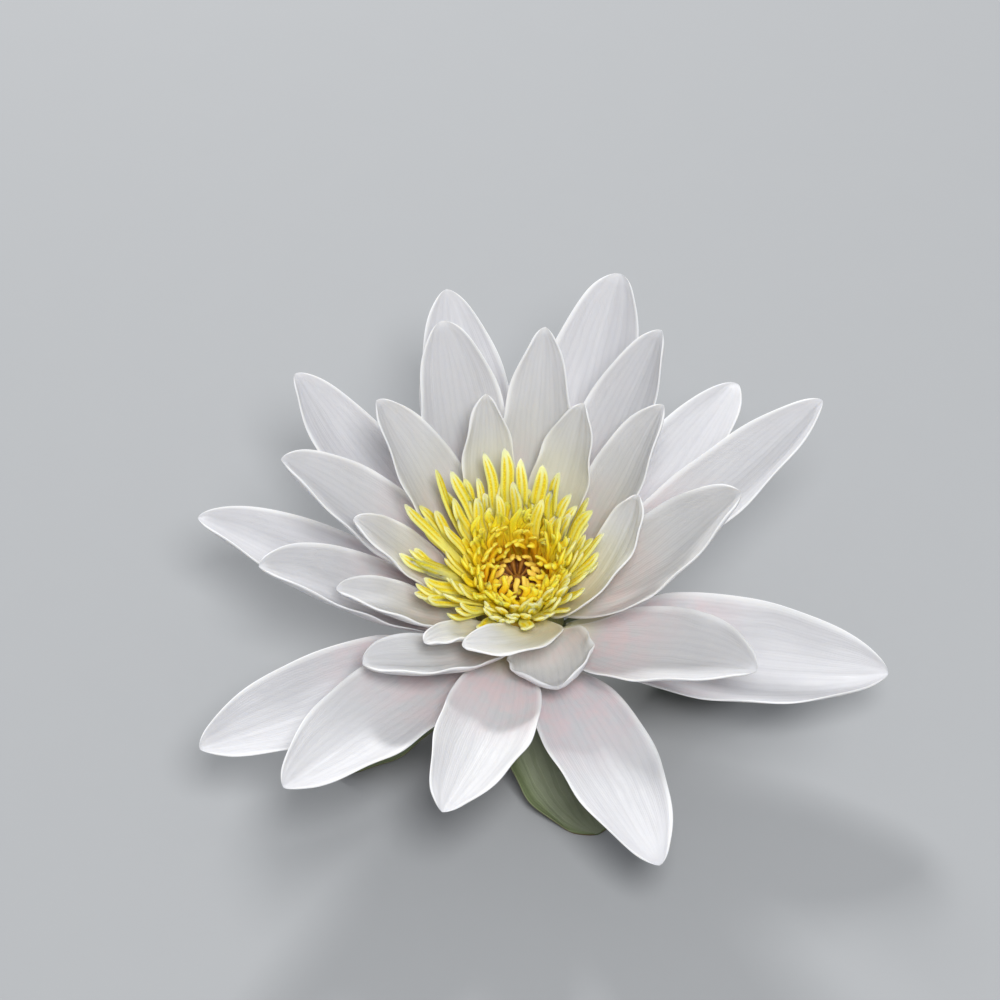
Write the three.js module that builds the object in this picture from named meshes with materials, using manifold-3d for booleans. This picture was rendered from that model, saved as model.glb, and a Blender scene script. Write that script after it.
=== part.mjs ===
// White hardy water lily bloom, picked with a short stub of its stalk.
// Millimetres, +Z up. The bloom lies on the flat undersides of its four spread sepals.
import * as THREE from 'three';
import { mergeVertices } from 'three/addons/utils/BufferGeometryUtils.js';
import Module from 'manifold-3d';

const wasm = await Module();
wasm.setup();

const radians = THREE.MathUtils.degToRad;
const { lerp, smoothstep } = THREE.MathUtils;

// ---------------------------------------------------------------- driving dimensions
// Heights named "level" are measured from the lowest petal bases.

const SEAT_HEIGHT = 13; // the lowest petal bases stand this far above the surface
const SEAT_GAP = 0.3; // clearance where one piece sits against another

// Stalk stub and pistil in one silhouette: [radius, level].
const STUB_END = 1 - SEAT_HEIGHT; // the cut end stays clear of the surface
const STUB_BEVEL = 0.5;
const STALK_RADIUS = 4.3;
const STALK_TOP = -7.5; // where the stalk starts to widen under the sepals
const PISTIL_SIDES = 24;
const PISTIL_OUTLINE = [
  [5.2, -5.5],
  [7.6, -4],
  [8.7, -2.6],
  [9.3, 0],
  [9, 2.5],
  [8.3, 5],
  [7.3, 7.5],
  [6, 8.3],
  [5.8, 11.6],
  [5, 12],
];

const BASE_THICKNESS = 1.2; // petal thickness where it grows from the pistil
const BLADE_THICKNESS = 0.8; // and over the blade
const EDGE_THICKNESS = 0.65; // and along its margin
const PETAL_ROWS = 8;
const PETAL_COLUMNS = 6;
const ROW_CROWDING = 1.4; // above 1 the rows crowd towards the tip
const CURVE_PULL = 0.36; // Bezier handle length as a share of the chord

const WIDEST_AT = 0.5; // share of the length where a petal is widest
const TIP_ROUNDING = 0.62; // below 1 the tip is blunt
const BASE_SHARE = 0.03; // keeps the base from closing to a point
const CLAW_SHARE = 0.7; // the claw is this much narrower than the outline of the blade
const CLAW_LENGTH = 0.3; // share of the length over which the claw widens and the cupping grows
const CUP_AT_BASE = 0.3; // share of the cupping at the very base
const THICK_LENGTH = 0.35; // share of the length over which the base thins to the blade
const ROLL_LENGTH = 0.4; // share of the length over which the roll comes in

// Petals of each whorl, one row each, angles in degrees: azimuth of the base and of the tip,
// reach of the tip from the axis and its level, rise at the base, pitch at the tip, full width,
// cupping, and roll about the petal's own length.
const COLUMNS = ['baseAzimuth', 'tipAzimuth', 'reach', 'level', 'rise', 'pitch', 'width', 'cup', 'roll'];
const WHORLS = [
  {
    name: 'outer_petal',
    seat: 0,
    petals: [
      [-20, -14, 75, 6, 4, 16, 30, 50, 0],
      [38, 47, 66, 17, 8, 14, 20, 40, -8],
      [71, 70, 61, 40, 21, 45, 21, 45, 0],
      [106, 103, 64, 30, 16, 40, 22, 45, 5],
      [141, 138, 60, 29, 9, 42, 20, 50, 5],
      [175, 171, 64, 20, 4, 24, 22, 50, 8],
      [-144, -145, 74, 14, 6, 14, 22, 40, -8],
      [-66, -68, 71, 9, 8, 8, 21, 38, 0],
    ],
  },
  {
    name: 'second_petal',
    seat: 2.5,
    petals: [
      [18, 24, 66, 36, 20, 34, 18, 55, 8],
      [55, 50, 44, 49, 35, 60, 18, 45, 0],
      [111, 112, 40, 48, 35, 60, 19, 45, -5],
      [156, 168, 47, 38, 26, 48, 20, 50, 0],
      [-170, -168, 51, 30, 11, 38, 22, 50, 5],
      [-130, -129, 70, 18, 10, 14, 21, 40, -8],
      [-97, -103, 63, 20, 14, 16, 20, 42, -8],
      [-36, -36, 56, 26, 12, 25, 23, 45, 2],
    ],
  },
  {
    name: 'third_petal',
    seat: 5,
    petals: [
      [-8, -4, 43, 43, 30, 58, 21, 50, 10],
      [32, 33, 34, 44, 40, 60, 16, 50, 0],
      [80, 81, 35, 49, 40, 65, 16, 45, 0],
      [136, 142, 35, 42, 45, 60, 17, 45, 3],
      [176, 178, 32, 30, 34, 50, 14, 42, 4],
      [-150, -162, 37, 24, 22, 31, 15, 48, 10],
      [-112, -140, 39, 18, 12, 17, 16, 50, 12],
      [-60, -73, 27, 11.5, 13, 45, 20, 60, 9],
    ],
  },
  {
    name: 'inner_petal',
    seat: 7.5,
    petals: [
      [-31, 12, 24, 33, 37, 82, 12, 42, 0],
      [62, 60, 26, 40, 50, 75, 14, 55, 0],
      [115, 105, 24, 42, 50, 75, 13, 55, 0],
      [-122, -130, 28, 20, 26, 22, 7, 50, 0],
      [-58, -118, 23, 18, 17, 10, 12, 35, 6],
    ],
  },
];

// The four sepals in the same columns; their tips droop and lie flat on the surface.
const SEPAL_SEAT = -2.6;
const SEPALS = [
  [-70, -70, 46, -14.2, -8, 0, 27, 40, 0],
  [-3, -3, 48, -14.2, -8, 0, 25, 40, 0],
  [100, 100, 48, -14.2, -8, 0, 25, 40, 0],
  [213, 213, 48, -14.2, -8, 0, 25, 40, 0],
];

// Stamens stand in rings on a collar that fits round the neck of the pistil.
const COLLAR_SIDES = 24;
const STAMEN_THICKNESS = 0.7;
const STAMEN_CUP = radians(20);
const FILAMENT_SHARE = 0.6; // the filament's width as a share of the anther's
const STAMEN_ROWS = 3;
const ROOT_DEPTH = 1.2; // how far a stamen's root is sunk in its collar
const STAMEN_SEED = 7;
const PALE_STAMENS = {
  name: 'outer_stamens',
  collar: { inner: 6.3, outer: 7.5, bottom: 8.7, top: 10.2 },
  rings: [{ count: 26, reach: 16.5, level: 25, width: 2.4, rise: 58, pitch: 66 }],
  spread: 3.5, // the reach grows by this much to the left and to both sides
  lift: 7, // the tips stand this much higher at the back, and lower in front
};
const GOLDEN_STAMENS = {
  name: 'inner_stamens',
  collar: { inner: 6.1, outer: 6.8, bottom: 10.8, top: 12.2 },
  rings: [
    { count: 20, reach: 8.8, level: 21.5, width: 1.6, rise: 80, pitch: 74 },
    { count: 18, reach: 7.6, level: 20, width: 1.5, rise: 86, pitch: 110 },
    { count: 12, reach: 5.6, level: 18, width: 1.4, rise: 95, pitch: 140 },
  ],
  spread: 0.3,
  lift: 3,
};

// The stigma is a shallow dish on the pistil with incurved yellow fingers round its rim.
const STIGMA = {
  radius: 4.9,
  bottom: 12.3,
  rim: 13.6,
  rimWidth: 0.8,
  dish: 12.9,
  knob: { radius: 1.1, height: 1.2 },
  fingers: 14,
  finger: { reach: 3.2, level: 16.6, rise: 80, pitch: 140, width: 1.5 },
};

// ---------------------------------------------------------------- small helpers

function polar(azimuth, radius, height) {
  return new THREE.Vector3(radius * Math.cos(azimuth), radius * Math.sin(azimuth), height);
}

function finish(color, roughness) {
  return new THREE.MeshStandardMaterial({ color, roughness, metalness: 0 });
}

function namedMesh(name, geometry, material) {
  const mesh = new THREE.Mesh(geometry, material);
  mesh.name = name;
  return mesh;
}

function lathe(outline, sides) {
  const profile = outline.map(([radius, level]) => new THREE.Vector2(radius, level));
  const geometry = new THREE.LatheGeometry(profile, sides);
  geometry.rotateX(Math.PI / 2);
  return geometry;
}

function toSolid(geometry) {
  const bare = geometry.clone();
  bare.deleteAttribute('normal');
  bare.deleteAttribute('uv');
  const merged = mergeVertices(bare, 1e-4);
  return new wasm.Manifold(new wasm.Mesh({
    numProp: 3,
    vertProperties: new Float32Array(merged.attributes.position.array),
    triVerts: new Uint32Array(merged.index.array),
  }));
}

function toGeometry(solid) {
  const mesh = solid.getMesh();
  const geometry = new THREE.BufferGeometry();
  geometry.setAttribute('position', new THREE.BufferAttribute(mesh.vertProperties, 3));
  geometry.setIndex(new THREE.BufferAttribute(mesh.triVerts, 1));
  return geometry;
}

function fuse(geometries) {
  return toGeometry(geometries.map(toSolid).reduce((whole, piece) => whole.add(piece)));
}

// ---------------------------------------------------------------- blades

// The mid surface of a blade along a curved rib: t runs from base to tip, u across from -1 to 1.
function bladeSurface({ base, tip, leaveAzimuth, arriveAzimuth, rise, pitch, widthAt, cupAt, rollAt }) {
  const pull = CURVE_PULL * base.distanceTo(tip);
  const leave = polar(leaveAzimuth, Math.cos(rise), Math.sin(rise));
  const arrive = polar(arriveAzimuth, Math.cos(pitch), Math.sin(pitch));
  const rib = new THREE.CubicBezierCurve3(
    base,
    base.clone().addScaledVector(leave, pull),
    tip.clone().addScaledVector(arrive, -pull),
    tip,
  );
  return (t, u) => {
    const along = rib.getTangent(t);
    const sideways = polar(lerp(leaveAzimuth, arriveAzimuth, t) + Math.PI / 2, 1, 0);
    const normal = new THREE.Vector3().crossVectors(along, sideways).normalize();
    const across = new THREE.Vector3().crossVectors(normal, along);
    across.applyAxisAngle(along, rollAt(t));
    normal.applyAxisAngle(along, rollAt(t));
    const cup = cupAt(t);
    const halfWidth = 0.5 * widthAt(t);
    const point = rib.getPoint(t);
    point.addScaledVector(across, (halfWidth * Math.sin(cup * u)) / cup);
    point.addScaledVector(normal, (halfWidth * (1 - Math.cos(cup * u))) / cup);
    const facing = normal.clone().multiplyScalar(Math.cos(cup * u));
    facing.addScaledVector(across, -Math.sin(cup * u));
    return { point, facing };
  };
}

// A closed blade: two like faces, both split along the same diagonals, joined round the margin.
function bladeSolid(surface, thickness, rows, columns, settle = (corner) => corner) {
  const positions = [];
  const index = [];
  const upper = [];
  const lower = [];
  for (let row = 0; row <= rows; row += 1) {
    const t = 1 - Math.pow(1 - row / rows, ROW_CROWDING);
    const across = row < rows ? columns : 0;
    upper.push([]);
    lower.push([]);
    for (let column = 0; column <= across; column += 1) {
      const u = across ? (2 * column) / columns - 1 : 0;
      const { point, facing } = surface(t, u);
      const half = facing.multiplyScalar(0.5 * thickness(t, u));
      upper[row].push(positions.length / 3);
      positions.push(...settle(point.clone().add(half), 'upper'));
      lower[row].push(positions.length / 3);
      positions.push(...settle(point.clone().sub(half), 'lower'));
    }
  }
  const cell = (face, row, column) => [
    face[row][column],
    face[row][column + 1],
    face[row + 1][Math.min(column + 1, face[row + 1].length - 1)],
    face[row + 1][Math.min(column, face[row + 1].length - 1)],
  ];
  for (let row = 0; row < rows; row += 1) {
    for (let column = 0; column < columns; column += 1) {
      const [a, b, c, d] = cell(upper, row, column);
      const [e, f, g, h] = cell(lower, row, column);
      index.push(a, c, b, e, f, g);
      if (c !== d) {
        index.push(a, d, c, e, g, h);
      }
      if (row === 0) {
        index.push(a, b, f, a, f, e);
      }
      if (column === 0) {
        index.push(a, e, h, a, h, d);
      }
      if (column === columns - 1) {
        index.push(b, c, g, b, g, f);
      }
    }
  }
  const geometry = new THREE.BufferGeometry();
  geometry.setAttribute('position', new THREE.Float32BufferAttribute(positions, 3));
  geometry.setIndex(index);
  return geometry;
}

// ---------------------------------------------------------------- petals and sepals

// Share of the full width at t along a petal: ovate, widest at WIDEST_AT.
function ovate(t) {
  const baseRounding = (TIP_ROUNDING * (WIDEST_AT + BASE_SHARE)) / (1 - WIDEST_AT);
  const outline = (s) => Math.pow(1 - s, TIP_ROUNDING) * Math.pow(s + BASE_SHARE, baseRounding);
  const claw = lerp(CLAW_SHARE, 1, smoothstep(t, 0, CLAW_LENGTH));
  return (claw * outline(t)) / outline(WIDEST_AT);
}

function pistilRadius(level) {
  const above = PISTIL_OUTLINE.findIndex(([, height]) => height >= level);
  const [lowRadius, low] = PISTIL_OUTLINE[Math.max(0, above - 1)];
  const [highRadius, high] = PISTIL_OUTLINE[above];
  return high > low ? lerp(lowRadius, highRadius, (level - low) / (high - low)) : highRadius;
}

function petalSurface(row, seat) {
  const petal = Object.fromEntries(COLUMNS.map((column, place) => [column, row[place]]));
  const rise = radians(petal.rise);
  const baseAzimuth = radians(petal.baseAzimuth);
  const tipAzimuth = radians(petal.tipAzimuth);
  const seatRadius = pistilRadius(seat) + SEAT_GAP + 0.5 * BASE_THICKNESS * Math.abs(Math.sin(rise));
  return bladeSurface({
    base: polar(baseAzimuth, seatRadius, seat),
    tip: polar(tipAzimuth, petal.reach, petal.level),
    leaveAzimuth: baseAzimuth,
    arriveAzimuth: 2 * tipAzimuth - baseAzimuth,
    rise,
    pitch: radians(petal.pitch),
    widthAt: (t) => petal.width * ovate(t),
    cupAt: (t) => radians(petal.cup) * lerp(CUP_AT_BASE, 1, smoothstep(t, 0, CLAW_LENGTH)),
    rollAt: (t) => radians(petal.roll) * smoothstep(t, 0, ROLL_LENGTH),
  });
}

function petalThickness(t, u) {
  const middle = lerp(BASE_THICKNESS, BLADE_THICKNESS, smoothstep(t, 0, THICK_LENGTH));
  return lerp(middle, EDGE_THICKNESS, u * u * smoothstep(t, 0, 0.2));
}

function petalMesh(name, row, seat, material) {
  const surface = petalSurface(row, seat);
  return namedMesh(name, bladeSolid(surface, petalThickness, PETAL_ROWS, PETAL_COLUMNS), material);
}

// A sepal is a petal whose lowest parts are pressed flat on the surface.
function sepalMesh(name, row, material) {
  const settle = (corner, face) => {
    const floor = face === 'upper' ? BLADE_THICKNESS : 0;
    corner.z = Math.max(corner.z, floor - SEAT_HEIGHT);
    return corner;
  };
  const surface = petalSurface(row, SEPAL_SEAT);
  return namedMesh(name, bladeSolid(surface, petalThickness, PETAL_ROWS, PETAL_COLUMNS, settle), material);
}

// ---------------------------------------------------------------- pistil, stigma and stamens

function pistilMesh(material) {
  const top = PISTIL_OUTLINE[PISTIL_OUTLINE.length - 1][1];
  const outline = [
    [0, STUB_END],
    [STALK_RADIUS - STUB_BEVEL, STUB_END],
    [STALK_RADIUS, STUB_END + STUB_BEVEL],
    [STALK_RADIUS, STALK_TOP],
    ...PISTIL_OUTLINE,
    [0, top],
  ];
  return namedMesh('stalk_and_pistil', lathe(outline, PISTIL_SIDES), material);
}

// A flat strap that widens to its anther and closes to a blunt tip.
function strap({ azimuth, baseRadius, baseLevel, reach, level, rise, pitch, width }) {
  const anther = (t) => lerp(FILAMENT_SHARE, 1, smoothstep(t, 0.2, 0.6));
  const bluntTip = (t) => 1 - 0.5 * smoothstep(t, 0.8, 1);
  const surface = bladeSurface({
    base: polar(azimuth, baseRadius, baseLevel),
    tip: polar(azimuth, reach, level),
    leaveAzimuth: azimuth,
    arriveAzimuth: azimuth,
    rise: radians(rise),
    pitch: radians(pitch),
    widthAt: (t) => width * anther(t) * bluntTip(t),
    cupAt: () => STAMEN_CUP,
    rollAt: () => 0,
  });
  return bladeSolid(surface, () => STAMEN_THICKNESS, STAMEN_ROWS, 1);
}

function collar({ inner, outer, bottom, top }) {
  return lathe([[inner, bottom], [outer, bottom], [outer, top], [inner, top], [inner, bottom]], COLLAR_SIDES);
}

function stamenMesh({ name, collar: ring, rings, spread, lift }, random, material) {
  const pieces = [collar(ring)];
  const baseRadius = 0.5 * (ring.inner + ring.outer);
  rings.forEach(({ count, reach, level, width, rise, pitch }) => {
    for (let place = 0; place < count; place += 1) {
      const azimuth = (2 * Math.PI * (place + 0.5 * random())) / count;
      const side = spread * (Math.cos(2 * azimuth) - Math.cos(azimuth));
      pieces.push(strap({
        azimuth,
        baseRadius,
        baseLevel: ring.top - ROOT_DEPTH,
        reach: reach + side + random() - 0.5,
        level: level + lift * Math.sin(azimuth) + 2 * random() - 1,
        rise,
        pitch,
        width,
      }));
    }
  });
  return namedMesh(name, fuse(pieces), material);
}

function stigmaMesh(material) {
  const { radius, bottom, rim, rimWidth, dish, knob, fingers, finger } = STIGMA;
  const outline = [
    [0, bottom],
    [radius - 0.6, bottom],
    [radius, rim],
    [radius - rimWidth, rim],
    [knob.radius, dish],
    [0.6 * knob.radius, dish + 0.8 * knob.height],
    [0, dish + knob.height],
  ];
  const pieces = [lathe(outline, COLLAR_SIDES)];
  for (let place = 0; place < fingers; place += 1) {
    const azimuth = (2 * Math.PI * place) / fingers;
    pieces.push(strap({ azimuth, baseRadius: radius - 0.5 * rimWidth, baseLevel: rim - 0.5, ...finger }));
  }
  return namedMesh('stigma', fuse(pieces), material);
}

// ---------------------------------------------------------------- the bloom

const petalFinish = finish(0xf4f0ee, 0.5);
const sepalFinish = finish(0x8d9576, 0.55);
const stalkFinish = finish(0x8a8f4e, 0.6);
const paleStamenFinish = finish(0xeedc7a, 0.6);
const goldenStamenFinish = finish(0xe6b412, 0.65);
const stigmaFinish = finish(0xd98a1c, 0.6);

const bloom = new THREE.Group();
WHORLS.forEach(({ name, seat, petals }) => {
  petals.forEach((row, place) => bloom.add(petalMesh(`${name}_${place + 1}`, row, seat, petalFinish)));
});
SEPALS.forEach((row, place) => bloom.add(sepalMesh(`sepal_${place + 1}`, row, sepalFinish)));
bloom.add(pistilMesh(stalkFinish));
bloom.add(stigmaMesh(stigmaFinish));
const random = (() => {
  let state = STAMEN_SEED;
  return () => {
    state = (state * 16807) % 2147483647;
    return state / 2147483647;
  };
})();
bloom.add(stamenMesh(PALE_STAMENS, random, paleStamenFinish));
bloom.add(stamenMesh(GOLDEN_STAMENS, random, goldenStamenFinish));

// The origin is the middle of the whole bloom, on the surface it lies on.
const group = new THREE.Group();
const middle = new THREE.Box3().setFromObject(bloom).getCenter(new THREE.Vector3());
bloom.position.set(-middle.x, -middle.y, SEAT_HEIGHT);
group.add(bloom);

export default group;
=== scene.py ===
import math

import bmesh
import bpy
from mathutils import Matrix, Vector


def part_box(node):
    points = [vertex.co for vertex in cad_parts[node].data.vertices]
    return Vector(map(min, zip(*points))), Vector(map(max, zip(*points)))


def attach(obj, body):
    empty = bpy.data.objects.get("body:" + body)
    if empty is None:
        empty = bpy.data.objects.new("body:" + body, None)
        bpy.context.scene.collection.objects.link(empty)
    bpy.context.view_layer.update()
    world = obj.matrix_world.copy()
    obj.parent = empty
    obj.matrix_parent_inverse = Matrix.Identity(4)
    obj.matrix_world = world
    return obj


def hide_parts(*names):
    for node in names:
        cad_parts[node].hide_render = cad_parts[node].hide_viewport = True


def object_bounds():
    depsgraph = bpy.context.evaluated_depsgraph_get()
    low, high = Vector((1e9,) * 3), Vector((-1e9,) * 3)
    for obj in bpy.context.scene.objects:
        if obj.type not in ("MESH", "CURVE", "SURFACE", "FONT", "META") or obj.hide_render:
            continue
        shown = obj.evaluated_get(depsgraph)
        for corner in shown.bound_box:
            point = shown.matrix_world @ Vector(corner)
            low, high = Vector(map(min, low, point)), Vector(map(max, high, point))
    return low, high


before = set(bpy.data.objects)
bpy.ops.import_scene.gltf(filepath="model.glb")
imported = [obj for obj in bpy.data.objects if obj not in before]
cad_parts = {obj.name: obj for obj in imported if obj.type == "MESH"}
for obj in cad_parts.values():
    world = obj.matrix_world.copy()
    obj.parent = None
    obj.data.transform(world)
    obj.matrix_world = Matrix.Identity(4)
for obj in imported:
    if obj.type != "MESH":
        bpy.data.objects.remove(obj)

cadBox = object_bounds()
mm = 0.001
degree = math.pi / 180

grownWeld = 0.002 * mm  # vertices closer than this become one, where a blade's grid closes
turnedWeld = 0.001 * mm
stubLength = 12 * mm  # the stalk's cut end lies this far below the lowest petal bases
stalkLow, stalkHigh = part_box("stalk_and_pistil")
seat = Vector(((stalkLow.x + stalkHigh.x) / 2, (stalkLow.y + stalkHigh.y) / 2, stalkLow.z + stubLength))
floorLevel = cadBox[0].z


# ---- node trees: wires that do maths, and one method for every other node


class Wire:  # an output socket; arithmetic on it adds Math nodes, or Vector Math nodes for vectors
    def __init__(self, tree, socket):
        self.tree = tree
        self.socket = socket

    def __add__(self, other):
        return self.tree.maths("ADD", self, other)

    def __radd__(self, other):
        return self.tree.maths("ADD", other, self)

    def __sub__(self, other):
        return self.tree.maths("SUBTRACT", self, other)

    def __rsub__(self, other):
        return self.tree.maths("SUBTRACT", other, self)

    def __mul__(self, other):
        return self.tree.maths("MULTIPLY", self, other)

    def __rmul__(self, other):
        return self.tree.maths("MULTIPLY", other, self)

    def __truediv__(self, other):
        return self.tree.maths("DIVIDE", self, other)

    def __pow__(self, other):
        return self.tree.maths("POWER", self, other)

    def beside(self, output):  # another output of the same node
        return Wire(self.tree, self.socket.node.outputs[output])


class Tree:  # a node tree under construction, for geometry or for a material
    def __init__(self, nodeTree):
        self.nodeTree = nodeTree

    def add(self, kind, settings=None, values=(), output=0):
        node = self.nodeTree.nodes.new(kind)
        for name, value in (settings or {}).items():
            setattr(node, name, value)
        places = values.items() if isinstance(values, dict) else enumerate(values)
        for place, value in places:
            self.feed(node.inputs[place], value)
        return Wire(self, node.outputs[output]) if len(node.outputs) else node

    def feed(self, socket, value):
        if isinstance(value, Wire):
            self.nodeTree.links.new(value.socket, socket)
        elif socket.type == "VECTOR" and not hasattr(value, "__len__"):
            socket.default_value = (value, value, value)
        elif socket.type == "RGBA" and len(value) == 3:
            socket.default_value = (*value, 1)
        else:
            socket.default_value = value

    def maths(self, operation, *values, output=0):
        isVector = any(
            value.socket.type == "VECTOR" if isinstance(value, Wire) else hasattr(value, "__len__")
            for value in values
        )
        kind = "ShaderNodeVectorMath" if isVector else "ShaderNodeMath"
        return self.add(kind, {"operation": operation}, values, output)

    def vector(self, x, y, z):
        return self.add("ShaderNodeCombineXYZ", None, (x, y, z))

    def ease(self, value, start, end, low=0, high=1):  # a smooth step from low to high
        return self.add("ShaderNodeMapRange", {"interpolation_type": "SMOOTHSTEP"},
                        (value, start, end, low, high))

    def hump(self, value, middle, spread):  # 1 at the middle, falling off smoothly on both sides
        return self.ease(self.maths("ABSOLUTE", value - middle), 0, spread, 1, 0)

    def noise(self, vector, scale, detail=2, roughness=0.5):
        return self.add("ShaderNodeTexNoise", None,
                        {"Vector": vector, "Scale": scale, "Detail": detail, "Roughness": roughness})

    def mixColour(self, factor, first, second, blend="MIX"):
        settings = {"data_type": "RGBA", "blend_type": blend}
        return self.add("ShaderNodeMix", settings, {0: factor, 6: first, 7: second}, 2)

    def attribute(self, name):
        return self.add("ShaderNodeAttribute", {"attribute_name": name}, (), "Fac")

    def mark(self, geometry, marks):  # float attributes on the points, for the materials
        settings = {"data_type": "FLOAT", "domain": "POINT"}
        for name, value in marks.items():
            geometry = self.add("GeometryNodeStoreNamedAttribute", settings,
                                {"Geometry": geometry, "Name": name, "Value": value})
        return geometry


def lerp(first, second, share):
    return first + (second - first) * share


socketTypes = {
    "vector": "NodeSocketVector",
    "float": "NodeSocketFloat",
    "int": "NodeSocketInt",
    "material": "NodeSocketMaterial",
}


def geometryTree(name, inputs):  # a new Geometry Nodes tree with named inputs
    group = bpy.data.node_groups.new(name, "GeometryNodeTree")
    group.interface.new_socket(name="Geometry", in_out="OUTPUT", socket_type="NodeSocketGeometry")
    for inputName, kind in inputs.items():
        group.interface.new_socket(name=inputName, in_out="INPUT", socket_type=socketTypes[kind])
    tree = Tree(group)
    entry = tree.add("NodeGroupInput")
    return tree, {inputName: entry.beside(inputName) for inputName in inputs}


def endTree(tree, geometry, material):
    whole = tree.add("GeometryNodeRealizeInstances", None, (geometry,))
    merged = tree.add("GeometryNodeMergeByDistance", None, {"Geometry": whole, "Distance": grownWeld})
    smooth = tree.add("GeometryNodeSetShadeSmooth", None, {"Geometry": merged})
    painted = tree.add("GeometryNodeSetMaterial", None, {"Geometry": smooth, "Material": material})
    tree.add("NodeGroupOutput", None, {"Geometry": painted})
    return tree.nodeTree


def grow(group, values, name):  # runs a Geometry Nodes tree and keeps its result as a plain mesh object
    holder = bpy.data.objects.new(name, bpy.data.meshes.new(name))
    bpy.context.scene.collection.objects.link(holder)
    modifier = holder.modifiers.new("grow", "NODES")
    modifier.node_group = group
    for item in group.interface.items_tree:
        if item.in_out == "INPUT":
            modifier[item.identifier] = values[item.name]
    evaluated = holder.evaluated_get(bpy.context.evaluated_depsgraph_get())
    mesh = bpy.data.meshes.new_from_object(evaluated)
    holder.modifiers.remove(modifier)
    holder.data = mesh
    mesh.name = name
    return holder


# ---- the blade rule that petals, sepals and stamens share

blade = {
    "handle": 0.36,  # Bezier handle length as a share of the chord
    "widestAt": 0.5,
    "tipRounding": 0.62,  # below 1 the tip is blunt
    "bluntRounding": 0.4,
    "bluntFrom": 0.35,  # a blunt tip starts to widen here and is full at the next
    "bluntTo": 0.95,
    "baseShare": 0.03,
    "clawShare": 0.7,
    "clawLength": 0.3,
    "cupAtBase": 0.3,
    "rollLength": 0.4,
    "crowding": 1.4,  # rows crowd towards the tip
    "baseThickness": 1.2 * mm,
    "bladeThickness": 0.8 * mm,
    "edgeThickness": 0.65 * mm,
    "thickLength": 0.35,
}


def direction(tree, azimuth, pitch):
    flat = tree.maths("COSINE", pitch)
    return tree.vector(tree.maths("COSINE", azimuth) * flat, tree.maths("SINE", azimuth) * flat,
                       tree.maths("SINE", pitch))


def turned(tree, azimuth, radius, height):
    return tree.vector(tree.maths("COSINE", azimuth) * radius, tree.maths("SINE", azimuth) * radius, height)


def bladeSurface(tree, along, across, form):  # a place on the mid surface, the way it faces, and sideways
    pull = tree.maths("DISTANCE", form["base"], form["tip"], output="Value") * blade["handle"]
    base = form["base"]
    tip = form["tip"]
    leave = base + direction(tree, form["leave"], form["rise"]) * pull
    arrive = tip - direction(tree, form["arrive"], form["pitch"]) * pull
    rest = 1 - along
    rib = (base * (rest * rest * rest) + leave * (3 * rest * rest * along)
           + arrive * (3 * rest * along * along) + tip * (along * along * along))
    tangent = ((leave - base) * (rest * rest) + (arrive - leave) * (2 * rest * along)
               + (tip - arrive) * (along * along))
    ahead = tree.maths("NORMALIZE", tangent)
    sideAzimuth = lerp(form["leave"], form["arrive"], along) + 90 * degree
    sideways = tree.vector(tree.maths("COSINE", sideAzimuth), tree.maths("SINE", sideAzimuth), 0)
    normal = tree.maths("NORMALIZE", tree.maths("CROSS_PRODUCT", ahead, sideways))
    over = tree.maths("CROSS_PRODUCT", normal, ahead)
    rollCosine = tree.maths("COSINE", form["roll"])
    rollSine = tree.maths("SINE", form["roll"])
    rolledOver = over * rollCosine + normal * rollSine
    rolledNormal = normal * rollCosine - over * rollSine
    bend = form["cup"] * across
    bendSine = tree.maths("SINE", bend)
    bendCosine = tree.maths("COSINE", bend)
    radius = form["halfWidth"] / form["cup"]
    point = rib + rolledOver * (radius * bendSine) + rolledNormal * (radius * (1 - bendCosine))
    facing = rolledNormal * bendCosine - rolledOver * bendSine
    return point, facing, rolledOver


def sectionPlace(tree):  # where a grid's vertex lies on a blade: along it, round its section and across it
    place = tree.add("ShaderNodeSeparateXYZ", None, (tree.add("GeometryNodeInputPosition"),))
    along = 1 - (0.5 - place) ** blade["crowding"]
    turn = (place.beside("Y") + 0.5) * (360 * degree)
    return along, 0 - tree.maths("COSINE", turn), tree.maths("SINE", turn)


def ovate(tree, along, blunt):  # share of the full width, widest in the middle; blunt rounds the tip
    rounding = blade["tipRounding"]
    baseRounding = rounding * (blade["widestAt"] + blade["baseShare"]) / (1 - blade["widestAt"])
    widest = (1 - blade["widestAt"]) ** rounding * (blade["widestAt"] + blade["baseShare"]) ** baseRounding
    widening = tree.ease(along, blade["bluntFrom"], blade["bluntTo"])
    tipRounding = rounding - (rounding - blade["bluntRounding"]) * blunt * widening
    outline = (1 - along) ** tipRounding * (along + blade["baseShare"]) ** baseRounding
    return tree.ease(along, 0, blade["clawLength"], blade["clawShare"] / widest, 1 / widest) * outline


sheet = {  # the living surface of a petal or sepal
    "freeFrom": (0.2, 0.6),  # undulation and ripple set in along this stretch
    "freeTo": (0.93, 1),
    "noiseAlong": 2.6,
    "noiseAcross": 0.8,
    "noiseSeed": 3.7,
    "rippleTurns": 23,  # radians along the margin
    "rippleSeed": 5.1,
    "rippleSlant": 1.4,
    "ridgeTurns": 17,  # radians from the middle to the margin
    "ridgeScale": 2.3,
    "ridgeWander": 5,
    "ridgeHeight": 0.05 * mm,
    "creaseSpread": 0.16,
    "creaseDepth": 0.16 * mm,
    "thinFrom": 0.2,
    "marginRounding": 0.45,
    "tipCap": 0.965,  # the thickness closes from here to the tip
    "rootCap": 0.012,
    "capRounding": 0.6,
}


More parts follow.
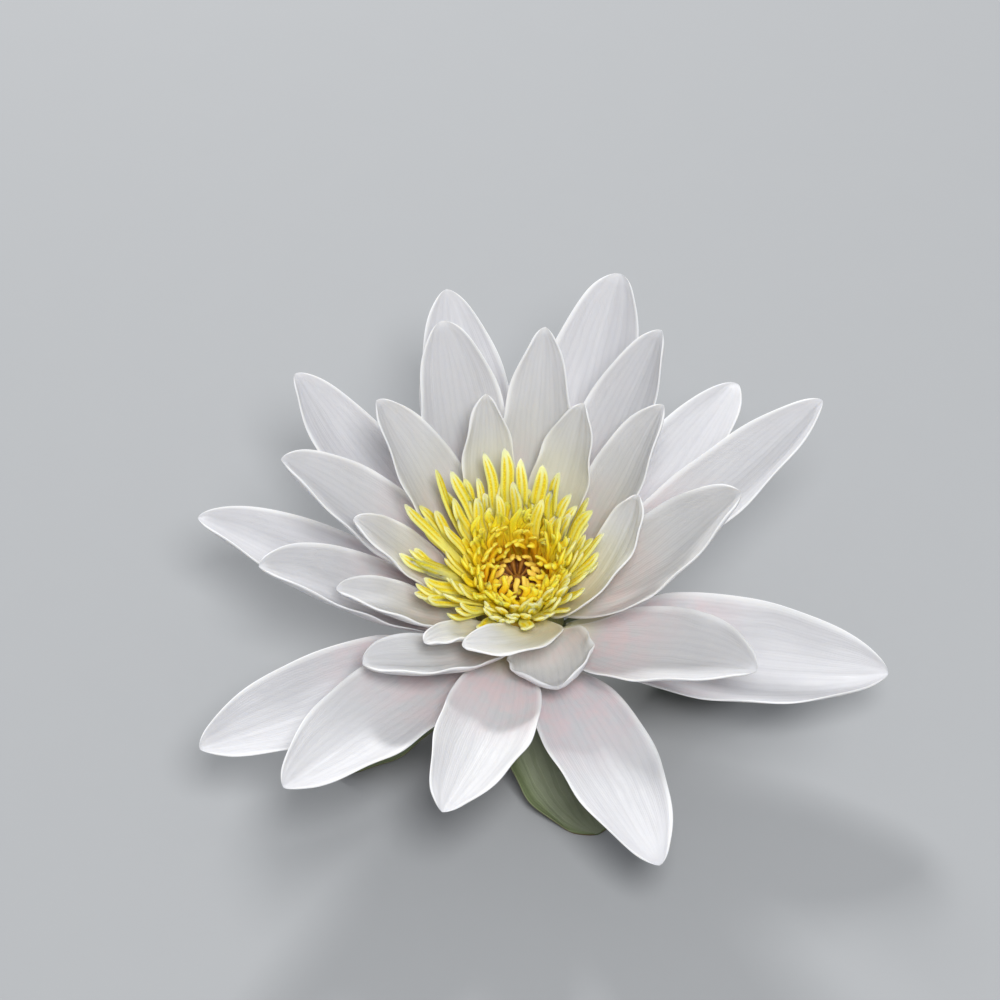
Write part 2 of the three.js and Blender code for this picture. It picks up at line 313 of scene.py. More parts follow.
def petalTree():
    inputs = {"Base": "vector", "Tip": "vector", "Leave": "float", "Arrive": "float", "Rise": "float",
              "Pitch": "float", "Width": "float", "Cup": "float", "Roll": "float", "Floor": "float",
              "Ripple": "float", "Undulation": "float", "Blunt": "float", "Tint": "float",
              "Seed": "float", "Rows": "int", "Columns": "int", "Material": "material"}
    tree, given = geometryTree("petal", inputs)
    grid = tree.add("GeometryNodeMeshGrid", None,
                    {"Size X": 1, "Size Y": 1, "Vertices X": given["Rows"], "Vertices Y": given["Columns"]})
    along, across, side = sectionPlace(tree)
    edge = across * across
    form = {
        "base": given["Base"],
        "tip": given["Tip"],
        "leave": given["Leave"],
        "arrive": given["Arrive"],
        "rise": given["Rise"],
        "pitch": given["Pitch"],
        "roll": given["Roll"] * tree.ease(along, 0, blade["rollLength"]),
        "cup": given["Cup"] * tree.ease(along, 0, blade["clawLength"], blade["cupAtBase"], 1),
        "halfWidth": given["Width"] * 0.5 * ovate(tree, along, given["Blunt"]),
    }
    point, facing, _ = bladeSurface(tree, along, across, form)

    # the living sheet: slow undulation, a rippled margin, shallow ridges and a crease down the middle
    free = tree.ease(along, *sheet["freeFrom"]) * tree.ease(along, *sheet["freeTo"], 1, 0)
    place = tree.vector(along * sheet["noiseAlong"], across * sheet["noiseAcross"],
                        given["Seed"] * sheet["noiseSeed"])
    undulation = (tree.noise(place, 1, 1) - 0.5) * given["Undulation"]
    rippleTurn = (along * sheet["rippleTurns"] + given["Seed"] * sheet["rippleSeed"]
                  + across * sheet["rippleSlant"])
    ripple = tree.maths("SINE", rippleTurn) * edge * edge * given["Ripple"]
    ridgeWander = (tree.noise(place, sheet["ridgeScale"], 1) - 0.5) * sheet["ridgeWander"]
    ridge = tree.maths("SINE", across * sheet["ridgeTurns"] + ridgeWander) * sheet["ridgeHeight"]
    crease = tree.hump(across, 0, sheet["creaseSpread"]) * -sheet["creaseDepth"]
    lift = free * (undulation + ripple + ridge + crease)

    thick = tree.ease(along, 0, blade["thickLength"], blade["baseThickness"], blade["bladeThickness"])
    thick = lerp(thick, blade["edgeThickness"], edge * tree.ease(along, 0, sheet["thinFrom"]))
    roundMargin = tree.maths("SIGN", side) * tree.maths("ABSOLUTE", side) ** sheet["marginRounding"]
    roundEnds = (1 - tree.ease(along, sheet["tipCap"], 1)) * tree.ease(along, 0, sheet["rootCap"])
    offset = thick * 0.5 * roundMargin * roundEnds ** sheet["capRounding"]
    placed = point + facing * (lift + offset)

    # a sepal's underside lies flat where it meets the surface
    split = tree.add("ShaderNodeSeparateXYZ", None, (placed,))
    lowest = given["Floor"] + tree.ease(side, -0.4, 0.4, 0, blade["bladeThickness"])
    settled = tree.vector(split, split.beside("Y"), tree.maths("MAXIMUM", split.beside("Z"), lowest))

    marks = {"along": along, "across": across, "side": tree.ease(side, -0.3, 0.3, -1, 1),
             "tone": given["Seed"], "tint": given["Tint"]}
    marked = tree.mark(grid, marks)
    shaped = tree.add("GeometryNodeSetPosition", None, {"Geometry": marked, "Position": settled})
    return endTree(tree, shaped, given["Material"])


strap = {  # one stamen, or a finger of the stigma
    "spacing": 0.3,  # share of the even spacing by which a root may be moved either way
    "pitchSwing": 0.25,
    "rollSwing": 0.5,
    "rollLength": 0.8,
    "halfWidth": (0.4, 0.55),  # drawn between these shares of the width
    "waist": (0.2, 0.6),  # narrow before the first, full width after the second
    "waistShare": 0.6,
    "tipFrom": 0.82,
    "tipRounding": 0.3,
    "capFrom": 0.9,
    "capRounding": 0.6,
    "rootCap": 0.02,
    "cup": (0.3, 0.5),  # from the root to half way
    "antherRun": 0.1,
    "antherEnd": (0.9, 0.98),
    "lobeAt": 0.6,  # from the middle line, as a share of the half width
    "lobeSpread": 0.42,
    "wiggleTurns": 9,
    "marginRounding": 0.6,
}


def stamenTree():  # a ring of straps on a circle, each with two anther lobes on its inner face
    inputs = {"Centre": "vector", "Count": "int", "Turn": "float", "Reach": "float", "Level": "float",
              "Width": "float", "Rise": "float", "Pitch": "float", "Spread": "float", "Lift": "float",
              "Base radius": "float", "Base level": "float", "Thickness": "float", "Anther start": "float",
              "Anther height": "float", "Curl": "float", "Jitter": "float", "Scatter": "float",
              "Tint": "float", "Seed": "int", "Rows": "int", "Columns": "int", "Material": "material"}
    tree, given = geometryTree("stamens", inputs)
    grid = tree.add("GeometryNodeMeshGrid", None,
                    {"Size X": 1, "Size Y": 1, "Vertices X": given["Rows"], "Vertices Y": given["Columns"]})
    points = tree.add("GeometryNodePoints", None, {"Count": given["Count"]})
    copies = tree.add("GeometryNodeInstanceOnPoints", None, {"Points": points, "Instance": grid})
    numbered = tree.add("GeometryNodeStoreNamedAttribute", {"data_type": "FLOAT", "domain": "INSTANCE"},
                        {"Geometry": copies, "Name": "place", "Value": tree.add("GeometryNodeInputIndex")})
    loose = tree.add("GeometryNodeRealizeInstances", None, (numbered,))
    place = tree.add("GeometryNodeInputNamedAttribute", {"data_type": "FLOAT"}, {"Name": "place"})

    def draw(low, high, order):  # a random number for each stamen
        return tree.add("FunctionNodeRandomValue", {"data_type": "FLOAT"},
                        {2: low, 3: high, "ID": place, "Seed": given["Seed"] * 16 + order}, 1)

    along, across, side = sectionPlace(tree)
    moved = place + draw(-strap["spacing"], strap["spacing"], 1)
    azimuth = given["Turn"] + moved * (360 * degree) / given["Count"]
    doubled = tree.maths("COSINE", azimuth * 2)
    spread = given["Spread"] * (doubled - tree.maths("COSINE", azimuth))
    reach = given["Reach"] + spread + draw(-0.5, 0.5, 2) * given["Jitter"]
    level = given["Level"] + given["Lift"] * tree.maths("SINE", azimuth) + draw(-1, 1, 3) * given["Jitter"]
    lean = azimuth + draw(-1, 1, 4) * given["Scatter"]
    roundTip = tree.ease(along, strap["tipFrom"], 1, 1, 0) ** strap["tipRounding"]
    shoulder = tree.ease(along, *strap["waist"], strap["waistShare"], 1) * roundTip
    roundEnds = (tree.ease(along, strap["capFrom"], 1, 1, 0) ** strap["capRounding"]
                 * tree.ease(along, 0, strap["rootCap"]))
    form = {
        "base": given["Centre"] + turned(tree, azimuth, given["Base radius"], given["Base level"]),
        "tip": given["Centre"] + turned(tree, lean, reach, level),
        "leave": azimuth,
        "arrive": lean,
        "rise": given["Rise"],
        "pitch": given["Pitch"] + draw(-strap["pitchSwing"], strap["pitchSwing"], 5),
        "roll": draw(-strap["rollSwing"], strap["rollSwing"], 6) * tree.ease(along, 0, strap["rollLength"]),
        "cup": tree.ease(along, 0, 0.5, *strap["cup"]),
        "halfWidth": given["Width"] * draw(*strap["halfWidth"], 7) * shoulder,
    }
    point, facing, over = bladeSurface(tree, along, across, form)
    antherFull = given["Anther start"] + strap["antherRun"]
    anther = (tree.ease(along, given["Anther start"], antherFull)
              * tree.ease(along, *strap["antherEnd"], 1, 0))
    lobes = tree.hump(tree.maths("ABSOLUTE", across), strap["lobeAt"], strap["lobeSpread"])
    swelling = anther * lobes * tree.ease(side, 0, 0.5) * given["Anther height"]
    wiggleTurn = along * strap["wiggleTurns"] + draw(0, 6.28, 8)
    wiggle = tree.maths("SINE", wiggleTurn) * given["Curl"] * tree.ease(along, 0.4, 1)
    roundMargin = tree.maths("SIGN", side) * tree.maths("ABSOLUTE", side) ** strap["marginRounding"]
    offset = given["Thickness"] * 0.5 * roundMargin * roundEnds + swelling
    placed = point + facing * offset + over * wiggle
    marks = {"along": along, "across": across, "tone": draw(0, 1, 9), "tint": given["Tint"],
             "anther": anther * lobes}
    marked = tree.mark(loose, marks)
    shaped = tree.add("GeometryNodeSetPosition", None, {"Geometry": marked, "Position": placed})
    return endTree(tree, shaped, given["Material"])


# ---- pieces turned round the axis, and joining what grows together


def turnedPiece(name, outline, sides, material, shape=None):  # the outline's points are radius, level
    vertices = []
    for radius, level in outline:
        for step in range(sides):
            turn = 2 * math.pi * step / sides
            here, there = shape(radius, level, turn) if shape else (radius, level)
            vertices.append(seat + Vector((here * math.cos(turn), here * math.sin(turn), there)) * mm)
    faces = []
    for ring in range(len(outline) - 1):
        for step in range(sides):
            after = (step + 1) % sides
            faces.append((ring * sides + step, ring * sides + after,
                          (ring + 1) * sides + after, (ring + 1) * sides + step))
    mesh = bpy.data.meshes.new(name)
    mesh.from_pydata(vertices, [], faces)
    closed = bmesh.new()
    closed.from_mesh(mesh)
    bmesh.ops.remove_doubles(closed, verts=closed.verts, dist=turnedWeld)
    bmesh.ops.recalc_face_normals(closed, faces=closed.faces)
    closed.to_mesh(mesh)
    closed.free()
    mesh.shade_smooth()
    mesh.materials.append(material)
    piece = bpy.data.objects.new(name, mesh)
    bpy.context.scene.collection.objects.link(piece)
    return piece


def smoothOutline(points, steps):  # a Catmull-Rom curve through the points of an outline
    rounded = []
    for place in range(len(points) - 1):
        near = [points[min(max(place + k, 0), len(points) - 1)] for k in (-1, 0, 1, 2)]
        for step in range(steps):
            t = step / steps
            rounded.append(tuple(
                0.5 * (2 * b + (c - a) * t + (2 * a - 5 * b + 4 * c - d) * t ** 2
                       + (3 * b - a - 3 * c + d) * t ** 3)
                for a, b, c, d in zip(*near)
            ))
    return rounded + [points[-1]]


def joinPieces(pieces):  # the first piece takes in the others
    for piece in pieces:
        piece.select_set(True)
    first = pieces[0]
    with bpy.context.temp_override(active_object=first, object=first, selected_editable_objects=pieces):
        bpy.ops.object.join()
    first.select_set(False)
    return first


def keep(piece, node):
    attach(piece, "root")
    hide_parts(node)


# ---- materials


def newMaterial(name):
    made = bpy.data.materials.new(name)
    made.use_nodes = True
    made.node_tree.nodes.clear()
    return made, Tree(made.node_tree)


def veinLines(tree, look):  # a slow wander over the blade, and veins that run along it and follow that
    along = tree.attribute("along")
    across = tree.attribute("across")
    place = tree.vector(along * 3, across * 2.4, tree.attribute("tone") * 7)
    wander = tree.noise(place, look["wanderScale"], 3)
    turn = across * (look["veinCount"] * math.pi) + (wander - 0.5) * look["veinWander"]
    return along, across, wander, tree.maths("SINE", turn)


def finishMaterial(tree, colour, roughness, height, look):
    bump = tree.add("ShaderNodeBump", None,
                    {"Strength": look["bumpStrength"], "Distance": look["bumpDepth"], "Height": height})
    sockets = {
        "Base Color": colour,
        "Roughness": roughness,
        "Normal": bump,
        "Subsurface Weight": look["subsurface"],
        "Subsurface Radius": look["subsurfaceRadius"],
        "Subsurface Scale": look["subsurfaceDepth"],
        "Specular IOR Level": look["gloss"],
    }
    skin = tree.add("ShaderNodeBsdfPrincipled", None, sockets)
    tree.add("ShaderNodeOutputMaterial", None, {"Surface": skin})


petalLook = {
    "white": (0.66, 0.66, 0.68),
    # painted highlight: the margin colour is a whiter rim that stands in for light catching the edges from
    # behind
    "margin": (0.93, 0.93, 0.92),
    "marginShare": 0.7,
    "vein": (0.49, 0.49, 0.52),
    "veinStrength": 0.15,
    "veinCount": 13,
    "veinWander": 9,
    "fineVeins": 3.1,  # fine ridges to each vein
    "fineWander": 22,
    "wanderScale": 1.4,
    "mottleScale": 260,
    "mottleShare": 0.25,
    "cellScale": 5200,
    "base": (0.80, 0.76, 0.46),  # greenish cream where the petal grows from the pistil
    "baseShare": 0.85,
    "lemon": (0.84, 0.84, 0.60),  # the innermost petals, half way to stamens
    "blush": (0.82, 0.62, 0.64),
    "blushStrength": 0.6,
    "blushAt": 0.22,
    "blushSpread": 0.42,
    "roughness": 0.46,
    "roughnessSwing": 0.22,
    "bumpStrength": 0.25,
    "bumpDepth": 0.25 * mm,
    "subsurface": 0.55,
    "subsurfaceRadius": (1.0, 0.92, 0.80),
    "subsurfaceDepth": 0.9 * mm,
    "gloss": 0.42,
}


def petalMaterial():
    look = petalLook
    made, tree = newMaterial("white petal")
    along, across, wander, lines = veinLines(tree, look)
    body = tree.add("ShaderNodeTexCoord", None, (), "Object")
    vein = tree.ease(lines, -0.5, 1) * tree.ease(along, 0.02, 0.2) * tree.ease(along, 0.8, 1, 1, 0)
    fineTurn = across * (look["veinCount"] * look["fineVeins"] * math.pi)
    fine = tree.maths("SINE", fineTurn + (wander - 0.5) * look["fineWander"])
    mottle = tree.noise(body, look["mottleScale"], 4, 0.6)
    cells = tree.noise(body, look["cellScale"], 2)
    edge = tree.maths("ABSOLUTE", across)
    shade = vein * look["veinStrength"] + (mottle - 0.45) * look["mottleShare"]
    colour = tree.mixColour(shade, look["white"], look["vein"])
    patches = tree.ease(mottle + wander * 0.6, 0.55, 1)
    blush = tree.hump(along, look["blushAt"], look["blushSpread"]) * patches
    colour = tree.mixColour(blush * look["blushStrength"], colour, look["blush"])
    lemon = tree.attribute("tint") * tree.ease(along, 0.3, 0.9, 1, 0.15)
    colour = tree.mixColour(lemon, colour, look["lemon"])
    colour = tree.mixColour(tree.ease(along, 0, 0.2, look["baseShare"], 0), colour, look["base"])
    # painted highlight: the edges are painted whiter, as a backlit rim
    colour = tree.mixColour(tree.ease(edge, 0.86, 0.99) * look["marginShare"], colour, look["margin"])
    roughness = look["roughness"] + (mottle - 0.5) * look["roughnessSwing"] + vein * 0.08
    height = vein * -0.4 + fine * 0.16 + cells * 0.3 + mottle * 0.5
    finishMaterial(tree, colour, roughness, height, look)
    return made


sepalLook = {
    # painted shade: the inner face's colours are darker grey-green than the sepal's own pale inner face, as
    # if in shadow
    "shadedInside": (0.27, 0.30, 0.20),
    "insideVein": (0.17, 0.205, 0.11),
    "insideMargin": (0.16, 0.20, 0.09),
    "outside": (0.085, 0.125, 0.03),
    "outsideVein": (0.05, 0.08, 0.02),
    "flush": (0.16, 0.07, 0.035),  # red-brown towards the margin of the underside
    "flushShare": 0.7,
    "veinCount": 11,
    "veinWander": 8,
    "insideVeinShare": 0.28,
    "outsideVeinShare": 0.4,
    "wanderScale": 1.4,
    "mottleScale": 500,
    "insideMottle": 0.6,
    "outsideMottle": 0.9,
    "cellScale": 5200,
    "roughness": 0.42,
    "roughnessSwing": 0.3,
    "bumpStrength": 0.4,
    "bumpDepth": 0.3 * mm,
    "subsurface": 0.25,
    "subsurfaceRadius": (0.8, 1.0, 0.4),
    "subsurfaceDepth": 0.6 * mm,
    "gloss": 0.45,
}


def sepalMaterial():
    look = sepalLook
    made, tree = newMaterial("green sepal")
    along, across, wander, lines = veinLines(tree, look)
    body = tree.add("ShaderNodeTexCoord", None, (), "Object")
    inner = tree.ease(tree.attribute("side"), -0.4, 0.4)
    vein = tree.ease(lines, -0.2, 1) * tree.ease(along, 0.85, 1, 1, 0.2)
    mottle = tree.noise(body, look["mottleScale"], 4, 0.6)
    cells = tree.noise(body, look["cellScale"], 2)
    edge = tree.maths("ABSOLUTE", across)
    # painted shade: the inner face is painted in dark grey-green, standing in for shadow
    shade = vein * look["insideVeinShare"] + (mottle - 0.45) * look["insideMottle"]
    shadedInside = tree.mixColour(shade, look["shadedInside"], look["insideVein"])
    shadedInside = tree.mixColour(tree.ease(edge, 0.6, 1), shadedInside, look["insideMargin"])
    shade = vein * look["outsideVeinShare"] + (mottle - 0.45) * look["outsideMottle"]
    outside = tree.mixColour(shade, look["outside"], look["outsideVein"])
    flush = tree.ease(edge + (mottle - 0.5) * 0.7, 0.55, 1) * look["flushShare"]
    outside = tree.mixColour(flush, outside, look["flush"])
    colour = tree.mixColour(inner, outside, shadedInside)
    roughness = look["roughness"] + (mottle - 0.5) * look["roughnessSwing"]
    height = vein * -0.6 + cells * 0.3 + mottle * 0.6
    finishMaterial(tree, colour, roughness, height, look)
    return made


paleStamenLook = {
    "name": "pale stamen",
    "foot": (1.0, 0.76, 0.03),
    "filament": (1.0, 0.93, 0.26),
    "head": (1.0, 0.97, 0.48),
    "anther": (0.98, 0.77, 0.03),
    "antherDark": (0.80, 0.59, 0.012),
    "deep": (1.0, 0.80, 0.03),  # the rings nearer the middle
    "deepShare": 0.8,
    "shade": (1.0, 0.86, 0.16),
    "shadeShare": 0.5,
    "grainScale": 3200,
    "mottleScale": 700,
    "streakTurns": 14,
    "roughness": 0.5,
    "bumpStrength": 0.4,
    "bumpDepth": 0.15 * mm,
    "subsurface": 0.8,
    "subsurfaceRadius": (1.0, 0.9, 0.3),
    "subsurfaceDepth": 1.2 * mm,
    "gloss": 0.4,
}

goldenStamenLook = {
    "name": "golden stamen",
    "foot": (1.0, 0.52, 0.006),
    "filament": (1.0, 0.74, 0.01),
    "head": (1.0, 0.89, 0.13),
    "anther": (1.0, 0.82, 0.04),
    "antherDark": (0.96, 0.64, 0.008),
    "deep": (1.0, 0.46, 0.01),
    "deepShare": 0.85,
    "shade": (1.0, 0.64, 0.01),
    "shadeShare": 0.5,
    "grainScale": 3200,
    "mottleScale": 700,
    "streakTurns": 14,
    "roughness": 0.55,
    "bumpStrength": 0.5,
    "bumpDepth": 0.15 * mm,
    "subsurface": 0.7,
    "subsurfaceRadius": (1.0, 0.8, 0.15),
    "subsurfaceDepth": 1.2 * mm,
    "gloss": 0.4,
}


def stamenMaterial(look):
    made, tree = newMaterial(look["name"])
    along = tree.attribute("along")
    across = tree.attribute("across")
    anther = tree.attribute("anther")
    tone = tree.attribute("tone")
    body = tree.add("ShaderNodeTexCoord", None, (), "Object")
    grains = tree.noise(body, look["grainScale"], 3, 0.7)
    mottle = tree.noise(body, look["mottleScale"], 3)
    colour = tree.mixColour(tree.ease(along, 0.05, 0.55), look["foot"], look["filament"])
    colour = tree.mixColour(tree.ease(along, 0.7, 0.97), colour, look["head"])
    shade = tree.ease(tone + (mottle - 0.5), 0.55, 1.1) * look["shadeShare"]
    colour = tree.mixColour(shade, colour, look["shade"])
    pollen = tree.mixColour(tree.ease(grains, 0.42, 0.62), look["antherDark"], look["anther"])
    colour = tree.mixColour(tree.ease(anther, 0.15, 0.7), colour, pollen)
    deep = tree.attribute("tint") * look["deepShare"] * tree.ease(along, 0.35, 0.9, 1, 0.2)
    colour = tree.mixColour(deep, colour, look["deep"])
    roughness = look["roughness"] + anther * 0.3
    streaks = tree.maths("SINE", across * look["streakTurns"] + mottle * 3)
    height = grains * (0.3 + anther * 0.9) + streaks * 0.12
    finishMaterial(tree, colour, roughness, height, look)
    return made


stigmaLook = {
    "disc": (0.30, 0.11, 0.012),
    "groove": (0.10, 0.03, 0.006),
    "ray": (0.48, 0.22, 0.03),
    "finger": (1.0, 0.72, 0.11),
    "grainScale": 2600,
    "discShare": 0.6,
    "roughness": 0.5,
    "bumpStrength": 0.5,
    "bumpDepth": 0.2 * mm,
    "subsurface": 0.3,
    "subsurfaceRadius": (1.0, 0.6, 0.2),
    "subsurfaceDepth": 0.6 * mm,
    "gloss": 0.45,
}


def stigmaMaterial():
    look = stigmaLook
    made, tree = newMaterial("orange stigma")
    along = tree.attribute("along")
    ray = tree.attribute("ray")
    body = tree.add("ShaderNodeTexCoord", None, (), "Object")
    grains = tree.noise(body, look["grainScale"], 3, 0.7)
    disc = tree.mixColour(tree.ease(ray, 0.15, 0.85), look["groove"], look["ray"])
    disc = tree.mixColour(tree.ease(grains, 0.35, 0.7) * look["discShare"], disc, look["disc"])
    colour = tree.mixColour(tree.ease(along, 0.05, 0.4), disc, look["finger"])
    roughness = look["roughness"] + (grains - 0.5) * 0.2
    finishMaterial(tree, colour, roughness, grains, look)
    return made


stalkLook = {
    "skin": (0.22, 0.23, 0.07),
    "skinDark": (0.12, 0.13, 0.035),
    "blush": (0.26, 0.12, 0.05),
    "flesh": (0.62, 0.62, 0.36),
    "pistil": (0.80, 0.50, 0.02),
    "pistilLevel": 7,  # above this, in millimetres, the wall is golden, between the stamens
    "streakScale": 120,
    "streakSquash": 9,
    "mottleScale": 700,
    "blushShare": 0.6,
    "roughness": 0.5,
    "bumpStrength": 0.5,
    "bumpDepth": 0.3 * mm,
    "subsurface": 0.2,
    "subsurfaceRadius": (0.9, 1.0, 0.4),
    "subsurfaceDepth": 0.8 * mm,
    "gloss": 0.45,
}


def stalkMaterial():
    look = stalkLook
    made, tree = newMaterial("green stalk")
    body = tree.add("ShaderNodeTexCoord", None, (), "Object")
    split = tree.add("ShaderNodeSeparateXYZ", None, (body,))
    squash = look["streakSquash"]
    streaked = tree.vector(split * squash, split.beside("Y") * squash, split.beside("Z"))
    streaks = tree.noise(streaked, look["streakScale"], 4, 0.6)
    mottle = tree.noise(body, look["mottleScale"], 3)
    flesh = tree.attribute("flesh")
    colour = tree.mixColour(tree.ease(streaks, 0.35, 0.65), look["skinDark"], look["skin"])
    colour = tree.mixColour(tree.ease(mottle, 0.5, 0.75) * look["blushShare"], colour, look["blush"])
    colour = tree.mixColour(flesh, colour, look["flesh"])
    start = seat.z + look["pistilLevel"] * mm
    colour = tree.mixColour(tree.ease(split.beside("Z"), start - mm, start + mm), colour, look["pistil"])
    roughness = look["roughness"] + (mottle - 0.5) * 0.3
    finishMaterial(tree, colour, roughness, streaks + mottle * 0.5, look)
    return made


# ---- the bloom

petalFinish = petalMaterial()
sepalFinish = sepalMaterial()
paleFinish = stamenMaterial(paleStamenLook)
goldenFinish = stamenMaterial(goldenStamenLook)
stigmaFinish = stigmaMaterial()
stalkFinish = stalkMaterial()

# Angles in degrees and lengths in millimetres: azimuth of the base and of the tip, reach of the tip from
# the axis and its level, rise at the base, pitch at the tip, full width, cupping, roll about its length.
columns = ["baseAzimuth", "tipAzimuth", "reach", "level", "rise", "pitch", "width", "cup", "roll"]
whorls = {
    "outer_petal": {"seat": 0, "radius": 9.3, "tint": 0, "petals": [
        [-20, -14, 75, 6, 4, 16, 30, 50, 0],
        [38, 47, 66, 17, 8, 14, 20, 40, -8],
        [71, 70, 61, 40, 21, 45, 21, 45, 0],
        [106, 103, 64, 30, 16, 40, 22, 45, 5],
        [141, 138, 60, 29, 9, 42, 20, 50, 5],
        [175, 171, 64, 20, 4, 24, 22, 50, 8],
        [-144, -145, 74, 14, 6, 14, 22, 40, -8],
        [-66, -68, 71, 9, 8, 8, 21, 38, 0],
    ]},
    "second_petal": {"seat": 2.5, "radius": 9, "tint": 0.04, "petals": [
        [18, 24, 66, 36, 20, 34, 18, 55, 8],
        [55, 50, 44, 49, 35, 60, 18, 45, 0],
        [111, 112, 40, 48, 35, 60, 19, 45, -5],
        [156, 168, 47, 38, 26, 48, 20, 50, 0],
        [-170, -168, 51, 30, 11, 38, 22, 50, 5],
        [-130, -129, 70, 18, 10, 14, 21, 40, -8],
        [-97, -103, 63, 20, 14, 16, 20, 42, -8],
        [-36, -36, 56, 26, 12, 25, 23, 45, 2],
    ]},
    "third_petal": {"seat": 5, "radius": 8.3, "tint": 0.15, "petals": [
        [-8, -4, 43, 43, 30, 58, 21, 50, 10],
        [32, 33, 34, 44, 40, 60, 16, 50, 0],
        [80, 81, 35, 49, 40, 65, 16, 45, 0],
        [136, 142, 35, 42, 45, 60, 17, 45, 3],
        [176, 178, 32, 30, 34, 50, 14, 42, 4],
        [-150, -162, 37, 24, 22, 31, 15, 48, 10],
        [-112, -140, 39, 18, 12, 17, 16, 50, 12],
        [-60, -73, 27, 11.5, 13, 45, 20, 60, 9],
    ]},
    "inner_petal": {"seat": 7.5, "radius": 7.3, "tint": 0.45, "petals": [
        [-31, 12, 24, 33, 37, 82, 12, 42, 0],
        [62, 60, 26, 40, 50, 75, 14, 55, 0],
        [115, 105, 24, 42, 50, 75, 13, 55, 0],
        [-122, -130, 28, 20, 26, 22, 7, 50, 0],
        [-58, -118, 23, 18, 17, 10, 12, 35, 6],
    ]},
}
sepals = {"seat": -2.6, "radius": 8.7, "tint": 0, "petals": [
    [-70, -70, 46, -14.2, -8, 0, 27, 40, 0],
    [-3, -3, 48, -14.2, -8, 0, 25, 40, 0],
    [100, 100, 48, -14.2, -8, 0, 25, 40, 0],
    [213, 213, 48, -14.2, -8, 0, 25, 40, 0],
]}

bluntTips = {  # how far each of these petals goes from a pointed to a blunt tip
    "thirdPetal8": 0.6,
    "thirdPetal7": 0.5,
    "innerPetal4": 0.6,
    "secondPetal3": 0.4,
    "outerPetal3": 0.4,
}
petalDetail = {
    "rows": 65,
    "columns": 73,
    "undulation": 1.0 * mm,
    "ripple": 0.28 * mm,
    "gap": 0.3,  # in millimetres, from the pistil's wall
    "seedStep": 0.37,
    "sepalSeed": 40,
}


def polar(azimuth, radius, level):
    return seat + Vector((radius * math.cos(azimuth), radius * math.sin(azimuth), level)) * mm


def growPetal(name, row, whorl, seed, material):
    petal = dict(zip(columns, row))
    rise = petal["rise"] * degree
    baseAzimuth = petal["baseAzimuth"] * degree
    tipAzimuth = petal["tipAzimuth"] * degree
    halfBase = 0.5 * blade["baseThickness"] / mm
    baseRadius = whorl["radius"] + petalDetail["gap"] + halfBase * abs(math.sin(rise))
    values = {
        "Base": polar(baseAzimuth, baseRadius, whorl["seat"]),
        "Tip": polar(tipAzimuth, petal["reach"], petal["level"]),
        "Leave": baseAzimuth,
        "Arrive": 2 * tipAzimuth - baseAzimuth,
        "Rise": rise,
        "Pitch": petal["pitch"] * degree,
        "Width": petal["width"] * mm,
        "Cup": petal["cup"] * degree,
        "Roll": petal["roll"] * degree,
        "Floor": floorLevel,
        "Ripple": petalDetail["ripple"],
        "Undulation": petalDetail["undulation"],
        "Blunt": bluntTips.get(name, 0),
        "Tint": whorl["tint"],
        "Seed": seed * petalDetail["seedStep"],
        "Rows": petalDetail["rows"],
        "Columns": petalDetail["columns"],
        "Material": material,
    }
    return grow(petals, values, name)


petals = petalTree()
seed = 0
for whorlName, whorl in whorls.items():
    for number, row in enumerate(whorl["petals"], 1):
        seed += 1
        title = whorlName.replace("_petal", "Petal") + str(number)
        piece = growPetal(title, row, whorl, seed, petalFinish)
        keep(piece, whorlName + "_" + str(number))
print("petals grown:", seed)

for number, row in enumerate(sepals["petals"], 1):
    seed = petalDetail["sepalSeed"] + number
    piece = growPetal("sepal" + str(number), row, sepals, seed, sepalFinish)
    keep(piece, "sepal_" + str(number))
print("sepals grown:", len(sepals["petals"]))


# ---- stamens

# Millimetres and degrees again; lift raises the rings behind and lowers them in front, spread widens them
# at the sides, and tint deepens the yellow towards the middle.
ringColumns = ["count", "reach", "level", "width", "rise", "pitch", "lift", "spread", "tint"]
outerStamens = {
    "collar": {"inner": 6.3, "outer": 7.5, "bottom": 8.7, "top": 10.2},
    "rings": [
        [22, 16.8, 26, 2.8, 58, 66, 9.8, 3.5, 0],
        [26, 15.6, 23, 2.6, 60, 64, 6, 3.2, 0.1],
        [28, 14.2, 22.6, 2.5, 66, 72, 5.4, 2.6, 0.35],
        [30, 11.8, 21.6, 2.2, 74, 76, 4.2, 1.6, 0.8],
    ],
    "seed": 1,
    "rows": 14,
    "columns": 13,
    "thickness": 0.6,
    "antherStart": 0.5,
    "antherHeight": 0.32,
    "curl": 0.45,
    "jitter": 2.2,
    "scatter": 0.13,
}
innerStamens = {
    "collar": {"inner": 6.1, "outer": 6.8, "bottom": 10.8, "top": 12.2},
    "rings": [
        [34, 10.0, 20.6, 2.0, 78, 80, 3.6, 0.6, 0],
        [34, 9.0, 20, 1.9, 82, 100, 3.2, 0.3, 0.1],
        [32, 7.6, 19.2, 1.8, 86, 122, 3, 0.3, 0.3],
        [28, 6.0, 18.2, 1.7, 92, 150, 2.4, 0.2, 0.6],
        [22, 3.9, 17, 1.5, 98, 172, 1.6, 0.1, 0.9],
    ],
    "seed": 11,
    "rows": 13,
    "columns": 9,
    "thickness": 0.6,
    "antherStart": 0.3,
    "antherHeight": 0.3,
    "curl": 0.9,
    "jitter": 1.6,
    "scatter": 0.3,
}
rootDepth = 1.2  # the stamens' roots lie this far down in their collar
ringTurn = 0.9  # radians from the first stamen of a ring to that of the next
collarSides = 48


